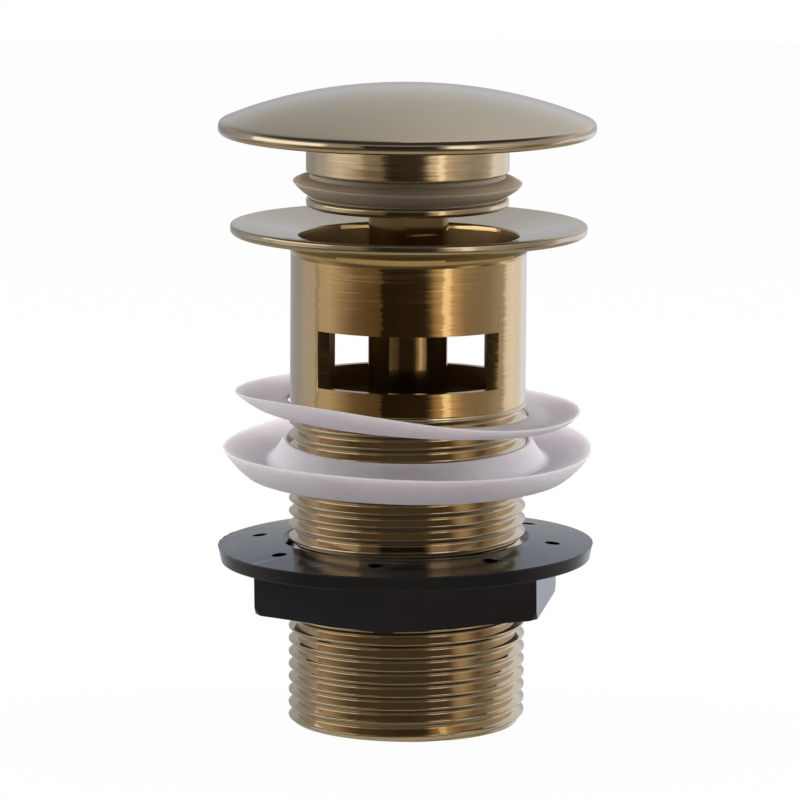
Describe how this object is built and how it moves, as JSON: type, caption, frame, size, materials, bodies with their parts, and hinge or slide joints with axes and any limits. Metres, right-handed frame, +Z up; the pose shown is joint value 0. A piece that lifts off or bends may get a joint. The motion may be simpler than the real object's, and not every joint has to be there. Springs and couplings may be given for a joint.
{
  "type": "pop up basin waste",
  "caption": "Slotted pop up basin waste with a domed push plug, lip seal, threaded tail, soft washers and a flanged back nut.",
  "frame": {"origin": "centre of the tail's end face, on the drain axis", "axes": "+Z up the drain axis from the tail to the mushroom cap; the two overflow slots face -Y (front) and +Y (back)"},
  "size_m": [0.0666, 0.0666, 0.1133],
  "materials": {
    "gold_brass": "polished, warm champagne gold coat",
    "raw_brass": "turned, uncoated",
    "stainless": "turned",
    "spring_steel": "drawn wire",
    "white_acetal": "moulded",
    "seal_silicone": "translucent beige-grey, matt",
    "washer_silicone": "translucent milky, matt",
    "black_plastic": "moulded, satin with light scuffs"
  },
  "bodies": {
    "waste": {"waste_body": "gold_brass", "track_core": "white_acetal", "latch_stem": "stainless", "stop_washer": "stainless", "lock_washer": "stainless", "lock_nut": "stainless", "return_spring": "spring_steel"},
    "plug": {"latch_sleeve": "gold_brass", "sleeve_bush": "raw_brass", "bush_clip": "spring_steel", "spring_seat": "raw_brass", "plug_body": "gold_brass", "plug_seal": "seal_silicone", "mushroom_cap": "gold_brass", "cap_stud": "raw_brass"},
    "index_ring": {"index_ring": "white_acetal"},
    "lower_washer": {"lower_washer": "washer_silicone"},
    "back_nut": {"back_nut": "black_plastic"},
    "upper_washer": {"upper_washer": "washer_silicone"}
  },
  "joints": [
    {"name": "plug_slide", "type": "slide", "parent": "waste", "child": "plug", "axis": [0, 0, 1], "range_m": [-0.011, 0], "stiffness_N_per_m": 400, "springref_m": 0.02, "deforming": ["return_spring", "plug_seal"]},
    {"name": "index_turn", "type": "hinge", "parent": "plug", "child": "index_ring", "pos_m": [0, 0, 0.06215], "axis": [0, 0, 1], "range_deg": [-33, 0]},
    {"name": "washer_slide", "type": "slide", "parent": "waste", "child": "lower_washer", "axis": [0, 0, 1], "range_m": [-0.021, 0.02]},
    {"name": "nut_turn", "type": "hinge", "parent": "lower_washer", "child": "back_nut", "pos_m": [0, 0, 0.0264], "axis": [0, 0, 1], "range_deg": [-3270, 3115]},
    {"name": "upper_washer_slide", "type": "slide", "parent": "lower_washer", "child": "upper_washer", "axis": [0, 0, 1], "range_m": [-0.0004, 0.005]}
  ],
  "couplings": [
    {"joint": "index_turn", "follows": "plug_slide", "rad_per_m": 52.35},
    {"joint": "washer_slide", "follows": "nut_turn", "m_per_rad": 0.00036749}
  ]
}
